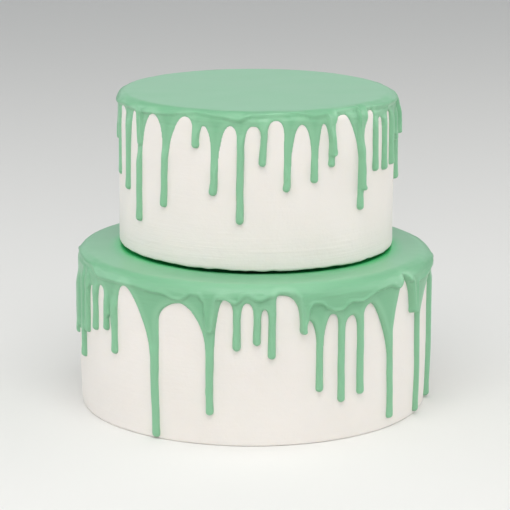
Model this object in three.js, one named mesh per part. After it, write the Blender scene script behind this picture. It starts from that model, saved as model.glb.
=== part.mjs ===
// Two-tier drip cake: two iced rounds, each with poured green glaze that runs down its side.
// Millimetres, +Z up. The origin is the middle of the flat base. The front of the cake faces -Y.
// Angles go round the tier's own axis in degrees, 0 at the front and growing towards +X.

import * as THREE from 'three';

const RAD = Math.PI / 180;
const TURN = 360;

// Sizes of the two iced rounds, with the thickness of the glaze on each
// and how far the glaze drifted towards +X
const LOWER = {
  radius: 127.35, base: 0, top: 111.3, rim: 7, heel: 1.2, centreX: 0, coat: 2.9, drift: 1.3,
};
const UPPER = {
  radius: 99.5, base: 117.5, top: 227.2, rim: 6.2, heel: 1.7, centreX: 2.4, coat: 1.7, drift: 0.6,
};
const FACETS = 56;

// Straight parts that each rounded rim is cut into: under the glaze, and outside on each glaze
const RIM_PARTS = 2;
const UPPER_RIM_PARTS = 2;
const LOWER_RIM_PARTS = 3;

// Both tops slope down a little towards +X; the base stays level
const TILT = 0.011;

// The upper round stands on a low foot, set in from its side, that leaves a dark slot
const FOOT_INSET = 28;
const FOOT_BASE = 114.5;

// Glaze: the gap to the icing under it, how proud of the icing a run stands, and the rounded
// lip of its edge. Along a crease between two runs it thins over a share of the arch's width
// and reaches its full thickness again a little below the top of the crease.
const GAP = 0.42;
const BEAD = 2.9;
const LIP = 2.4;
const LIP_FIRST = 0.3;
const LIP_RISE = 0.71;
const CREASE_THIN = 0.45;
const CREASE_SHARE = 0.5;
const CREASE_FADE = 6;
const LEAST_STEP = 0.22;

// A run swells a little at its tip, and its top blends into the coat
const TIP_SWELL = 1.1;
const TIP_THICK = 1.15;
const TIP_CLEAR = 1.1;

// One run of glaze: where its tip is, the height of the tip, half its width, how far its top
// leans, how proud it stands, the height up to which it stays a ridge where that is given,
// and how much wider each side is at the top than at the tip
function run(angle, tip, half, lean = 0, bead = BEAD, reach = 0, taper = 0) {
  return { angle, tip, half, lean, bead, reach, taper };
}

// The arch of bare icing after a run: its highest point, then how far down each shoulder
// reaches and how square it is (2 is round, less is more pointed), left first. Some go on
// above their top as a crease in the glaze.
function arch(angle, top, leftDrop, leftPower, rightDrop, rightPower, crease = 0) {
  return { angle, top, leftDrop, leftPower, rightDrop, rightPower, crease };
}

const UPPER_FRONT = [
  [run(-88.5, 192.1, 3.4, 0, 1.2, 200), arch(-83.8, 205.1, 6, 2, 8, 2, 217)],
  [run(-76.4, 170, 2.6, 0.3, 1.6, 212), arch(-71, 221.1, 16, 1.8, 14, 2)],
  [run(-64.9, 162.6, 2.7, 0.6, 2.6, 208), arch(-59.1, 221, 33, 1.6, 12, 2)],
  [run(-55.4, 142.9, 2.8, 0.4, 2.8), arch(-46.2, 221.8, 40, 2, 20, 2.2)],
  [run(-40.2, 157.1, 2.65, 0.6), arch(-29.8, 223.3, 36, 1.6, 8, 2.3)],
  [run(-25.1, 201.8, 2.7, 0.4), arch(-21.3, 217.9, 12, 2, 15, 1.8)],
  [run(-17.5, 169.4, 2.75, 0.6), arch(-10.3, 218.8, 38, 2, 9, 2)],
  [run(-6.6, 150.2, 2.65, 0.4), arch(-1, 219, 18, 2.4, 7, 2.3)],
  [run(2.3, 191, 2.5, 0.9), arch(7.9, 222.9, 8, 2.3, 9, 2.3)],
  [run(11.9, 173, 2.5, 0.5), arch(18.3, 219.8, 40, 2.1, 20, 2)],
  [run(23.6, 178.4, 2.6, 0.1), arch(27.7, 219.6, 34, 1.6, 15, 2)],
  [run(31.2, 188.5, 2.35, 0.4, 3.1), arch(38.2, 223.8, 12, 3.2, 32, 1.5)],
  [run(46.6, 155.2, 2.45, 0.4, 3.1), arch(53.3, 224.6, 17, 1.9, 6, 2.2)],
  [run(56.7, 180.3, 2.5, -0.2, 3, 210), arch(60.7, 218.3, 8, 2, 12, 2, 222)],
  [run(64.5, 178.8, 2.6, 0, 3, 212), arch(69.5, 220.4, 8, 2.2, 8, 2.2)],
  [run(73.4, 179.9, 2.6, 0, 3, 212), arch(77.5, 200.4, 4, 2, 1, 2, 220)],
  [run(81.5, 194.9, 2.6, 0, 3.3, 212), arch(85.8, 201, 1, 2, 4, 2, 220)],
  [run(90, 163.8, 2.8, 0, 3.4, 212), arch(94.5, 219.9, 14, 2, 14, 2)],
];

const LOWER_FRONT = [
  [run(-90.5, 57.4, 3, 0, 1.3, 84), arch(-87.2, 65.3, 3, 2, 3, 2, 101)],
  [run(-83.5, 50.5, 2.9, 0, 2.3, 87), arch(-81.4, 59.4, 3, 2, 2, 2, 101)],
  [run(-78.2, 56.9, 3.4, 0, 2.8, 90), arch(-74.6, 60.4, 2, 2, 3, 2, 101)],
  [run(-70.7, 40.1, 2.8, 0, 3.1, 96), arch(-68.6, 61.6, 3, 2, 1, 2, 100)],
  [run(-66.6, 60.4, 2.7, 0, 3.1, 96), arch(-63.7, 96.1, 10, 2, 8, 2, 102)],
  [run(-60.4, 65.1, 2.7, 0, 2.9, 92), arch(-57.4, 99.1, 14, 2, 8, 2)],
  [run(-53.6, 68.4, 2.4, 0, 2.9, 88), arch(-51.6, 80.2, 4, 2, 14, 1.8, 96)],
  [run(-49.3, 53.4, 2.75, 0, 2.9, 84), arch(-44.3, 104, 28, 2.9, 47, 1.5)],
  [run(-32.2, 0.8, 2.8, -0.1, BEAD, 0, 0.7), arch(-23.1, 98.6, 14, 1.9, 32, 1.75)],
  [run(-13.6, 21.1, 2.65, 0.1, BEAD, 0, 0.35), arch(-9, 103.3, 45, 1.7, 9, 2.2)],
  [run(-4.9, 67.6, 2.75), arch(-1.7, 101.5, 13, 2.2, 8, 2.2)],
  [run(1.3, 71.6, 2.65, 0.1), arch(3.7, 97.1, 10, 2.2, 8, 2.2)],
  [run(5.8, 61.9, 2.7, 0.3), arch(8.6, 107, 5, 3, 22, 2.6)],
  [run(16, 78.7, 2.5, -0.2, 3), arch(17.7, 88.3, 6, 2, 18, 2)],
  [run(21.1, 36.6, 2.55, 0.1), arch(25.4, 91.6, 28, 2, 6, 2.3)],
  [run(28.7, 27.3, 2.6), arch(32.5, 89, 12, 2.3, 12, 2.1)],
  [run(35.8, 30.7, 2.7), arch(39.9, 95.4, 8, 2.2, 42, 1.4)],
  [run(49.5, 6.9, 2.5, -0.8), arch(55, 107.4, 36, 1.3, 27, 1.9)],
  [run(61.6, 78.7, 3, 0, 3.2), arch(63.8, 82.9, 1, 2, 3, 2)],
  [run(66.8, 2, 2.6, -0.9, 3), arch(78.2, 100, 26, 1.45, 14, 2.2)],
  [run(86.2, 1, 2.7, 0, 3.8, 92), arch(89.5, 97, 8, 2, 8, 2, 102)],
  [run(93.5, 40.4, 3, 0, 3.4), arch(97.5, 99.1, 12, 2, 14, 2)],
];

// The side that doesn't show carries runs by one rule: even spacing, spread by a fixed series
const SPREAD = 0.618034;
const UPPER_BACK = { from: 97, to: 267, runs: 9, top: 221, shortest: 22, longest: 74, seed: 0.37 };
const LOWER_BACK = { from: 98, to: 266, runs: 9, top: 100, shortest: 20, longest: 86, seed: 0.11 };
const BACK_HALF = { least: 2.4, range: 0.5 };
const BACK_DROP = { least: 10, range: 24 };
const BACK_ARCH = { least: 0.42, range: 0.16, rise: 3 };
const BACK_SHIFT = { length: 0.29, width: 0.53 };
const BACK_WANDER = 0.3;
const BACK_LEAN = 0.6;

// Places across a run and along an arch where the outline has corners
const RUN_STEPS = [-0.95, -0.45, 0.45, 0.95];
const ARCH_STEP_WIDTHS = [3, 9, 17];

function spread(seed, k) {
  const v = seed + k * SPREAD;
  return v - Math.floor(v);
}

function backEdge(rule) {
  const pitch = (rule.to - rule.from) / rule.runs;
  const rows = [];
  for (let k = 0; k < rule.runs; k += 1) {
    const a = spread(rule.seed, k);
    const b = spread(rule.seed + BACK_SHIFT.length, 2 * k + 1);
    const c = spread(rule.seed + BACK_SHIFT.width, 3 * k + 2);
    const angle = rule.from + pitch * (k + 0.5 + BACK_WANDER * (a - 0.5));
    const length = rule.shortest + (rule.longest - rule.shortest) * b;
    const half = BACK_HALF.least + BACK_HALF.range * c;
    const next = angle + pitch * (BACK_ARCH.least + BACK_ARCH.range * c);
    const left = BACK_DROP.least + BACK_DROP.range * c;
    const right = BACK_DROP.least + BACK_DROP.range * a;
    rows.push([
      run(angle, rule.top - length, half, BACK_LEAN * (a - 0.5)),
      arch(next, rule.top + BACK_ARCH.rise * (b - 0.5), left, 2, right, 2),
    ]);
  }
  return rows;
}

// Point of the icing's outline at a length up from the base, moved out by an offset:
// straight side, quarter-round rim, then level top
function outline(tier, length, offset) {
  const rimStart = tier.top - tier.rim;
  if (length <= rimStart) {
    return { r: tier.radius + offset, z: length };
  }
  const turn = Math.min((length - rimStart) / tier.rim, Math.PI / 2);
  const reach = tier.rim + offset;
  return {
    r: tier.radius - tier.rim + reach * Math.cos(turn),
    z: rimStart + reach * Math.sin(turn),
  };
}

// How far the slope takes a point down: all of it on the upper round, and on the lower round
// the more the higher the point is
function sink(tier, x, z) {
  const share = tier.base > 0 ? 1 : Math.min(z / tier.top, 1);
  return TILT * (x - tier.centreX) * share;
}

function place(tier, angle, length, offset) {
  const p = outline(tier, length, offset);
  const x = tier.centreX + p.r * Math.sin(angle * RAD);
  return new THREE.Vector3(x, -p.r * Math.cos(angle * RAD), p.z - sink(tier, x, p.z));
}

// Thickness of the coat; the drift dies away over the rim, so the top is level with its slope
function coatAt(tier, angle, overRim = 0) {
  return tier.coat - GAP + tier.drift * Math.sin(angle * RAD) * (1 - overRim);
}

// Height of the glaze edge along one shoulder of an arch; share is 0 at its top, 1 at its foot
function shoulder(top, drop, power, share) {
  return top - drop * (1 - Math.pow(1 - Math.pow(share, power), 1 / power));
}

// All corner lines of the glaze, in order round the tier. Each runs from the edge up to the rim.
function glazeColumns(tier, edge) {
  const count = edge.length;
  const columns = [];
  const degrees = (mm) => mm / tier.radius / RAD;
  const footOf = (top, drop, one) => Math.max(top - drop, one.tip + one.half + TIP_CLEAR);
  for (let i = 0; i < count; i += 1) {
    const [one, after] = edge[i];
    const before = edge[(i + count - 1) % count][1];
    const next = edge[(i + 1) % count][0];
    const nextTurn = i + 1 === count ? TURN : 0;
    const footLeft = footOf(before.top, before.rightDrop, one);
    const footRight = footOf(after.top, after.leftDrop, one);
    const spring = one.reach || Math.min(footLeft, footRight);
    const proud = one.bead - GAP;
    for (const u of RUN_STEPS) {
      const across = Math.sqrt(1 - u * u);
      columns.push({
        low: one.angle + u * degrees(one.half * TIP_SWELL),
        high: one.angle + one.lean + u * degrees(one.half + one.taper),
        edge: one.tip + one.half * (1 - across),
        spring,
        lipThick: proud * TIP_THICK * across,
        springThick: proud * across,
      });
    }
    const from = one.angle + one.lean + degrees(one.half + one.taper);
    const to = next.angle + nextTurn + next.lean - degrees(next.half + next.taper);
    const nextFoot = footOf(after.top, after.rightDrop, next);
    const sides = [
      { foot: from, drop: after.top - footRight, power: after.leftPower, down: true },
      { foot: to, drop: after.top - nextFoot, power: after.rightPower, down: false },
    ];
    for (const side of sides) {
      const width = Math.abs(after.angle - side.foot) * RAD * tier.radius;
      const steps = 1 + ARCH_STEP_WIDTHS.filter((w) => width > w).length;
      for (let k = 0; k <= steps; k += 1) {
        const j = side.down ? k : steps - k;
        const share = Math.cos((j / steps) * Math.PI / 2);
        if (!side.down && k === 0) {
          continue;
        }
        const angle = after.angle + share * (side.foot - after.angle);
        const height = shoulder(after.top, side.drop, side.power, share);
        const coat = coatAt(tier, angle);
        const creased = after.crease > 0 && share < CREASE_SHARE;
        columns.push({
          low: angle,
          high: angle,
          edge: height,
          spring: creased ? after.crease - CREASE_FADE : height + LIP,
          lipThick: creased ? coat * CREASE_THIN : coat,
          springThick: creased ? coat * CREASE_THIN : coat,
        });
      }
    }
  }
  return columns;
}

// Lengths and thicknesses of the outer rows of one corner line, from its edge to the rim's end
function outerRows(tier, column, rimParts) {
  const rimStart = tier.top - tier.rim;
  const rimLength = tier.rim * Math.PI / 2;
  const rows = [{ s: column.edge, t: 0 }];
  const add = (s, t) => rows.push({ s: Math.max(s, rows[rows.length - 1].s + LEAST_STEP), t });
  add(column.edge + LIP * LIP_FIRST, column.lipThick * LIP_RISE);
  add(column.edge + LIP, column.lipThick);
  add(column.spring, column.springThick);
  for (let k = 0; k <= rimParts; k += 1) {
    add(rimStart + rimLength * k / rimParts, coatAt(tier, column.high, k / rimParts));
  }
  return rows;
}

function innerRows(tier, column) {
  const rimStart = tier.top - tier.rim;
  const rimLength = tier.rim * Math.PI / 2;
  const rows = [{ s: column.edge, t: 0 }];
  for (let k = 0; k <= RIM_PARTS; k += 1) {
    const s = rimStart + rimLength * k / RIM_PARTS;
    rows.push({ s: Math.max(s, rows[rows.length - 1].s + LEAST_STEP), t: 0 });
  }
  return rows;
}

// Closed skin of glaze: an outer and an inner sheet that share the edge and meet nowhere else
function glazeGeometry(tier, edge, rimParts) {
  const columns = glazeColumns(tier, edge);
  const n = columns.length;
  const points = [];
  const faces = [];
  const indexOf = (p) => points.push(p.x, p.y, p.z) / 3 - 1;
  const angleAt = (column, s) => {
    const share = (s - column.edge) / Math.max(column.spring - column.edge, LEAST_STEP);
    return column.low + (column.high - column.low) * Math.min(Math.max(share, 0), 1);
  };
  const sheet = (rowsOf, shared) => columns.map((column, i) => rowsOf(column).map((row, k) => {
    if (k === 0 && shared) {
      return shared[i][0];
    }
    return indexOf(place(tier, angleAt(column, row.s), row.s, GAP + row.t));
  }));
  const outer = sheet((column) => outerRows(tier, column, rimParts), null);
  const inner = sheet((column) => innerRows(tier, column), outer);
  const crown = indexOf(new THREE.Vector3(tier.centreX, 0, tier.top + tier.coat));
  const under = indexOf(new THREE.Vector3(tier.centreX, 0, tier.top + GAP));
  const stitch = (grid, pole, outwards) => {
    const face = (a, b, c) => (outwards ? faces.push(a, b, c) : faces.push(a, c, b));
    for (let i = 0; i < n; i += 1) {
      const here = grid[i];
      const next = grid[(i + 1) % n];
      for (let k = 0; k + 1 < here.length; k += 1) {
        face(here[k], next[k], next[k + 1]);
        face(here[k], next[k + 1], here[k + 1]);
      }
      face(here[here.length - 1], next[next.length - 1], pole);
    }
  };
  stitch(outer, crown, true);
  stitch(inner, under, false);
  const geometry = new THREE.BufferGeometry();
  geometry.setAttribute('position', new THREE.Float32BufferAttribute(points, 3));
  geometry.setIndex(faces);
  geometry.computeVertexNormals();
  return geometry;
}

// Icing round turned from its outline; the heel is the small rounding at the bottom edge
function roundGeometry(tier, footRadius, footBase) {
  const profile = [];
  const add = (r, z) => profile.push(new THREE.Vector2(r, z));
  const heelRow = (part) => {
    const a = part * Math.PI / 2;
    add(tier.radius - tier.heel * (1 - Math.sin(a)), tier.base + tier.heel * (1 - Math.cos(a)));
  };
  if (footRadius) {
    add(0, footBase);
    add(footRadius, footBase);
    add(footRadius, tier.base);
  } else {
    add(0, tier.base);
  }
  heelRow(0);
  heelRow(0.5);
  heelRow(1);
  const rimLength = tier.rim * Math.PI / 2;
  for (let k = 0; k <= RIM_PARTS; k += 1) {
    const p = outline(tier, tier.top - tier.rim + rimLength * k / RIM_PARTS, 0);
    add(p.r, p.z);
  }
  add(0, tier.top);
  const geometry = new THREE.LatheGeometry(profile, FACETS);
  geometry.rotateX(Math.PI / 2);
  geometry.translate(tier.centreX, 0, 0);
  const at = geometry.attributes.position;
  for (let i = 0; i < at.count; i += 1) {
    at.setZ(i, at.getZ(i) - sink(tier, at.getX(i), at.getZ(i)));
  }
  geometry.computeVertexNormals();
  return geometry;
}

const icing = new THREE.MeshStandardMaterial({ color: '#f1ede4', roughness: 0.75 });
const icingUpper = icing.clone();
const glaze = new THREE.MeshStandardMaterial({ color: '#86bf97', roughness: 0.35 });
const glazeUpper = glaze.clone();

const part = new THREE.Group();
part.name = 'drip_cake';

function addPiece(name, geometry, material) {
  const mesh = new THREE.Mesh(geometry, material);
  mesh.name = name;
  part.add(mesh);
}

const lowerEdge = [...LOWER_FRONT, ...backEdge(LOWER_BACK)];
const upperEdge = [...UPPER_FRONT, ...backEdge(UPPER_BACK)];

addPiece('lower_cake', roundGeometry(LOWER, 0, 0), icing);
addPiece('lower_glaze', glazeGeometry(LOWER, lowerEdge, LOWER_RIM_PARTS), glaze);
addPiece('upper_cake', roundGeometry(UPPER, UPPER.radius - FOOT_INSET, FOOT_BASE), icingUpper);
addPiece('upper_glaze', glazeGeometry(UPPER, upperEdge, UPPER_RIM_PARTS), glazeUpper);

export default part;
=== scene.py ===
# %% [markdown]
# # A two-tier drip cake
# The cake is two iced rounds, the smaller on the larger, and green glaze was poured over each.
# The glaze covers the top, rolls over the rim and runs down the side in long drips.
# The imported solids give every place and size. Blender adds what a plain solid lacks:
# a soft edge all along the glaze, the second pour that lies over the first, and the finishes.

# %% The frame
import math
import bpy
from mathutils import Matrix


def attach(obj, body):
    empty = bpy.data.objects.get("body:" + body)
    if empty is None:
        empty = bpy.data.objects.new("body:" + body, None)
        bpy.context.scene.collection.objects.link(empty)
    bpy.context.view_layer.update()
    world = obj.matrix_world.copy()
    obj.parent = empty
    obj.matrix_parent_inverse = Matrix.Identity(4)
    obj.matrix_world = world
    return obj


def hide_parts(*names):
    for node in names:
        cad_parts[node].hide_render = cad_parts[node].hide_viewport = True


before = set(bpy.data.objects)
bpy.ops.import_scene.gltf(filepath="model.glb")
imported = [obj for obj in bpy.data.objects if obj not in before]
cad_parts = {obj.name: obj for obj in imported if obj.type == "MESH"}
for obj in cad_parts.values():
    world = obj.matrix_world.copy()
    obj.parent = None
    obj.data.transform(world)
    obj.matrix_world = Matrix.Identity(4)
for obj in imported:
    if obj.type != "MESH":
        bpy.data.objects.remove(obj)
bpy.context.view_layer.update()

from types import SimpleNamespace

import bpy
import numpy as np
from mathutils import Vector, kdtree, noise

MM = 0.001
print("solids:", sorted(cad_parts))

# %% [markdown]
# ## Sizes
# A cake is measured on its icing: the radius, the height of its flat top, the rounding of its rim
# and the smaller rounding at its foot. Sizes are in millimetres, as a baker would say them, and
# turn to metres only where a mesh is made. The upper round sits a little off the middle. The glaze
# lies thicker on the lower round, and drifted to the right there. Both tops slope half a degree
# down to the right, and the foot of the lower one is a hair wider from front to back than across.
# The second pour drifts too, and has a lip along its edge. The rings are how far in from the rim
# the mesh of each top is cut.

# %% Sizes of the rounds and of the glaze
LOWER = SimpleNamespace(name="lower", radius=127.35, base=0, top=111.3, rim=7, heel=1.2, centre=0,
                        coat=1.9, second=1.0, drift=1.3,
                        rings=(3, 9, 14, 18, 20, 22, 24, 27, 38, 62))
UPPER = SimpleNamespace(name="upper", radius=99.5, base=117.5, top=227.2, rim=6.2, heel=1.7, centre=2.4,
                        coat=0.6, second=1.1, drift=0.45,
                        rings=(3, 9, 15, 22, 30, 39, 49, 60, 72, 84))


def rim_start(tier):
    return tier.top - tier.rim


print("lower round %.0f mm wide, upper %.0f mm" % (2 * LOWER.radius, 2 * UPPER.radius))

# %% [markdown]
# ## Where the glaze ends
# Seen flat, as if the side was unrolled, the edge of the glaze is a row of runs with an arch of bare
# icing after each. A run is its place round the cake, the height of its tip and half its width. An
# arch is its highest point and the two shoulders that lead down to its neighbours. It could be
# drawn point by point, but runs and arches are how the glaze moves, and they stay easy to change.
# A run may keep its ridge further up, to its reach, and an arch may go on as a crease above its top.
# A lump is where one side of a run swells or shrinks: its height, then how far right and left.
# The taper is how much wider each side of a run is at the top than at the tip.
# Angles are in degrees, 0 at the front and growing to the viewer's right. Heights are in millimetres.

# %% Runs and arches on the front
BEAD = 2.9


def run(angle, tip, half, lean=0, bead=BEAD, reach=0, lumps=(), taper=0):
    return SimpleNamespace(angle=angle, tip=tip, half=half, lean=lean, bead=bead, reach=reach,
                           lumps=lumps, taper=taper)


def arch(angle, top, left_drop, left_power, right_drop, right_power, crease=0):
    return SimpleNamespace(angle=angle, top=top, left=(left_drop, left_power),
                           right=(right_drop, right_power), crease=crease)


UPPER_FRONT = [
    (run(-88.5, 192.1, 3.4, 0, 1.2, 200), arch(-83.8, 205.1, 6, 2, 8, 2, 217)),
    (run(-76.4, 170, 2.6, 0.3, 1.6, 212), arch(-71, 221.1, 16, 1.8, 14, 2)),
    (run(-64.9, 162.6, 2.7, 0.6, 2.6, 208), arch(-59.1, 221, 33, 1.6, 12, 2)),
    (run(-55.4, 142.9, 2.8, 0.4, 2.8, 0, ((206.5, 0, 0.9), (202, 0, 0.9))),
     arch(-46.2, 221.8, 40, 2, 20, 2.2)),
    (run(-40.2, 157.1, 2.65, 0.6), arch(-29.8, 223.3, 36, 1.6, 8, 2.3)),
    (run(-25.1, 201.8, 2.7, 0.4), arch(-21.3, 217.9, 12, 2, 15, 1.8)),
    (run(-17.5, 169.4, 2.75, 0.6), arch(-10.3, 218.8, 38, 2, 9, 2)),
    (run(-6.6, 150.2, 2.65, 0.4), arch(-1, 219, 18, 2.4, 7, 2.3)),
    (run(2.3, 191, 2.5, 0.9), arch(7.9, 222.9, 8, 2.3, 9, 2.3)),
    (run(11.9, 173, 2.5, 0.5), arch(18.3, 219.8, 40, 2.1, 20, 2)),
    (run(23.6, 178.4, 2.6, 0.1), arch(27.7, 219.6, 34, 1.6, 15, 2)),
    (run(31.2, 188.5, 2.35, 0.4, 3.1, 0, ((198.6, 0.9, 0.1), (194.6, -0.35, -0.3))),
     arch(38.2, 224.4, 12, 3.2, 32, 1.4)),
    (run(46.6, 155.2, 2.45, 0.4, 3.1, 0, ((170.8, 1.0, 0.1), (166.4, -0.3, -0.1))),
     arch(53.3, 224.6, 17, 1.9, 6, 2.2)),
    (run(56.7, 180.3, 2.5, -0.2, 3.0, 210), arch(60.7, 218.3, 8, 2, 12, 2, 222)),
    (run(64.5, 178.8, 2.6, 0, 3.0, 212), arch(69.5, 220.4, 8, 2.2, 8, 2.2)),
    (run(73.4, 179.9, 2.6, 0, 3.0, 212), arch(77.5, 200.4, 4, 2, 1, 2, 220)),
    (run(81.5, 194.9, 2.6, 0, 3.3, 212), arch(85.8, 201, 1, 2, 4, 2, 220)),
    (run(90, 163.8, 2.8, 0, 3.4, 212), arch(94.5, 219.9, 14, 2, 14, 2)),
]

LOWER_FRONT = [
    (run(-90.5, 57.4, 3.0, 0, 1.3, 84), arch(-87.2, 65.3, 3, 2, 3, 2, 101)),
    (run(-83.5, 50.5, 2.9, 0, 2.3, 87), arch(-81.4, 59.4, 3, 2, 2, 2, 101)),
    (run(-78.2, 56.9, 3.4, 0, 2.8, 90), arch(-74.6, 60.4, 2, 2, 3, 2, 101)),
    (run(-70.7, 40.1, 2.8, 0, 3.1, 96), arch(-68.6, 61.6, 3, 2, 1, 2, 100)),
    (run(-66.6, 60.4, 2.7, 0, 3.1, 96), arch(-63.7, 96.1, 10, 2, 8, 2, 102)),
    (run(-60.4, 65.1, 2.7, 0, 2.9, 92), arch(-57.4, 99.1, 14, 2, 8, 2)),
    (run(-53.6, 68.4, 2.4, 0, 2.9, 88), arch(-51.6, 80.2, 4, 2, 14, 1.8, 96)),
    (run(-49.3, 53.4, 2.75, 0, 2.9, 84), arch(-44.3, 104, 28, 2.9, 47, 1.5)),
    (run(-32.2, 0.8, 2.8, -0.1, taper=0.7), arch(-23.1, 98.6, 14, 1.9, 32, 1.75)),
    (run(-13.6, 21.1, 2.65, 0.1, taper=0.35), arch(-9, 103.3, 45, 1.7, 9, 2.2)),
    (run(-4.9, 67.6, 2.75), arch(-1.7, 101.5, 13, 2.2, 8, 2.2)),
    (run(1.3, 71.6, 2.65, 0.1), arch(3.7, 97.1, 10, 2.2, 8, 2.2)),
    (run(5.8, 61.9, 2.7, 0.3), arch(8.6, 107, 5, 3, 22, 2.6)),
    (run(16, 78.7, 2.5, -0.2, 3.0), arch(17.7, 88.3, 6, 2, 18, 2)),
    (run(21.1, 36.6, 2.55, 0.1), arch(25.4, 91.6, 28, 2, 6, 2.3)),
    (run(28.7, 27.3, 2.6), arch(32.5, 89, 12, 2.3, 12, 2.1)),
    (run(35.8, 30.7, 2.7), arch(39.9, 95.4, 8, 2.2, 42, 1.4)),
    (run(49.5, 6.9, 2.5, -0.8), arch(55, 107.4, 36, 1.3, 27, 1.9)),
    (run(61.6, 78.7, 3.0, 0, 3.2), arch(63.8, 82.9, 1, 2, 3, 2)),
    (run(66.8, 2, 2.6, -0.9, 3.0), arch(78.2, 100, 26, 1.45, 14, 2.2)),
    (run(86.2, 1, 2.7, 0, 3.8, 92), arch(89.5, 97, 8, 2, 8, 2, 102)),
    (run(93.5, 40.4, 3.0, 0, 3.4), arch(97.5, 99.1, 12, 2, 14, 2)),
]
print("runs on the front:", len(UPPER_FRONT), "above and", len(LOWER_FRONT), "below")

# %% [markdown]
# The far side of the cake isn't seen, so its runs follow one rule. They are evenly spaced, and a
# fixed series spreads their lengths and widths, so the back is as uneven as the front and comes
# out the same each time.

# %% Runs and arches on the back
SPREAD = 0.618034
LENGTH_SHIFT = 0.29
WIDTH_SHIFT = 0.53
BACK_WANDER = 0.3
BACK_LEAN = 0.6
BACK_HALF = (2.4, 0.5)
BACK_CREST = (0.42, 0.16)
BACK_RISE = 3
BACK_DROP = (10, 24)


def spread(seed, k):
    return (seed + k * SPREAD) % 1.0


def ranged(size, share):
    """The first number of a size, and a share of the second on top of it."""
    least, more = size
    return least + more * share


def back_edge(first, last, runs, top, shortest, longest, seed):
    pitch = (last - first) / runs
    rows = []
    for k in range(runs):
        a = spread(seed, k)
        b = spread(seed + LENGTH_SHIFT, 2 * k + 1)
        c = spread(seed + WIDTH_SHIFT, 3 * k + 2)
        angle = first + pitch * (k + 0.5 + BACK_WANDER * (a - 0.5))
        tip = top - shortest - (longest - shortest) * b
        one = run(angle, tip, ranged(BACK_HALF, c), BACK_LEAN * (a - 0.5))
        crest_angle = angle + pitch * ranged(BACK_CREST, c)
        crest_top = top + BACK_RISE * (b - 0.5)
        rows.append((one, arch(crest_angle, crest_top, ranged(BACK_DROP, c), 2, ranged(BACK_DROP, a), 2)))
    return rows


UPPER_EDGE = UPPER_FRONT + back_edge(first=97, last=267, runs=9, top=221,
                                     shortest=22, longest=74, seed=0.37)
LOWER_EDGE = LOWER_FRONT + back_edge(first=98, last=266, runs=9, top=100,
                                     shortest=20, longest=86, seed=0.11)
print("runs in all:", len(UPPER_EDGE) + len(LOWER_EDGE))

# %% [markdown]
# ## One line for the whole edge
# The rows become one line round the cake. A shoulder is a quarter of a rounded curve that meets
# the side of its run without a corner, and a tip is half a circle. The line is then cut into even
# short steps that sway by a hair, and softened a little, because liquid leaves no sharp corner.

# %% Lines and how they are softened
STEP = 0.15


def even_steps(points):
    """The same line, cut into steps of equal length."""
    gone = np.r_[0, np.cumsum(np.hypot(*np.diff(points, axis=0).T))]
    at = np.linspace(0, gone[-1], int(gone[-1] / STEP) + 1)
    return np.c_[np.interp(at, gone, points[:, 0]), np.interp(at, gone, points[:, 1])]


def soften(points, turn, width):
    """A closed line, smoothed over about that width. One turn moves it along by turn."""
    reach = int(3 * width / STEP)
    weights = np.exp(-0.5 * (np.arange(-reach, reach + 1) * STEP / width) ** 2)
    weights /= weights.sum()
    before = points[-reach - 1:-1] - (turn, 0)
    after = points[1:reach + 1] + (turn, 0)
    longer = np.vstack([before, points, after])
    return np.c_[np.convolve(longer[:, 0], weights, "valid"), np.convolve(longer[:, 1], weights, "valid")]


def smooth(low, high, value):
    share = np.clip((value - low) / (high - low), 0, 1)
    return share * share * (3 - 2 * share)


# %% The first edge
TIP_SWELL = 1.1
TIP_CLEAR = 1.1
SWELL_FADE = (2, 14)
LUMP_HEIGHT = 2.2
RUN_SWAY = 0.18
RUN_WAVE = 7.5
EDGE_SWAY = 0.07
EDGE_WAVES = (2.7, 3.9)
EDGE_SOFT = 0.45
RIDGE_SHARE = 1.7
RIDGE_SPARE = 0.5
PAST_SPRING = 2
ARCH_POINTS = 40
RUN_POINTS = 48
BOW_POINTS = 17


def place_across(tier, angle):
    return math.radians(angle) * tier.radius


def shoulder(top, drop, power, share):
    return top - drop * (1 - (1 - share ** power) ** (1 / power))


def foot(top, drop, one):
    return max(top - drop, one.tip + one.half + TIP_CLEAR)


def arch_line(tier, start, crest, end, left_foot, right_foot):
    """From the foot at start, up over the crest and down to the foot at end."""
    steps = np.linspace(0, math.pi / 2, ARCH_POINTS)
    share = np.cos(steps)
    across = crest.x + share * (start - crest.x)
    up = np.c_[across, shoulder(crest.top, crest.top - left_foot, crest.left[1], share)]
    share = np.sin(steps)
    across = crest.x + share * (end - crest.x)
    down = np.c_[across, shoulder(crest.top, crest.top - right_foot, crest.right[1], share)]
    return [up, down[1:]]


def run_side(one, tip_end, spring, side):
    """Points down one side of a run, from its spring to where the tip starts to round."""
    z = np.linspace(spring, tip_end, RUN_POINTS)
    reach = half_of(one, z)
    for height, right, left in one.lumps:
        reach = reach + (right if side > 0 else left) * np.exp(-((z - height) / LUMP_HEIGHT) ** 2)
    return np.c_[centre_of(one, z) + side * reach, z]


def up_run(one, z):
    """How far up a run a height is: 0 at its tip, 1 at its spring."""
    return np.clip((z - one.tip) / max(one.spring - one.tip, 1), 0, 1)


def centre_of(one, z):
    share = up_run(one, z)
    sway = RUN_SWAY * np.sin(z / RUN_WAVE + one.angle)
    return one.x + one.lean_x * share + sway * share * (1 - share) * 4


def half_of(one, z):
    at_tip = 1 - smooth(one.tip + SWELL_FADE[0], one.tip + SWELL_FADE[1], z)
    return one.half * (1 + (TIP_SWELL - 1) * at_tip) + one.taper * up_run(one, z)


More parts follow.
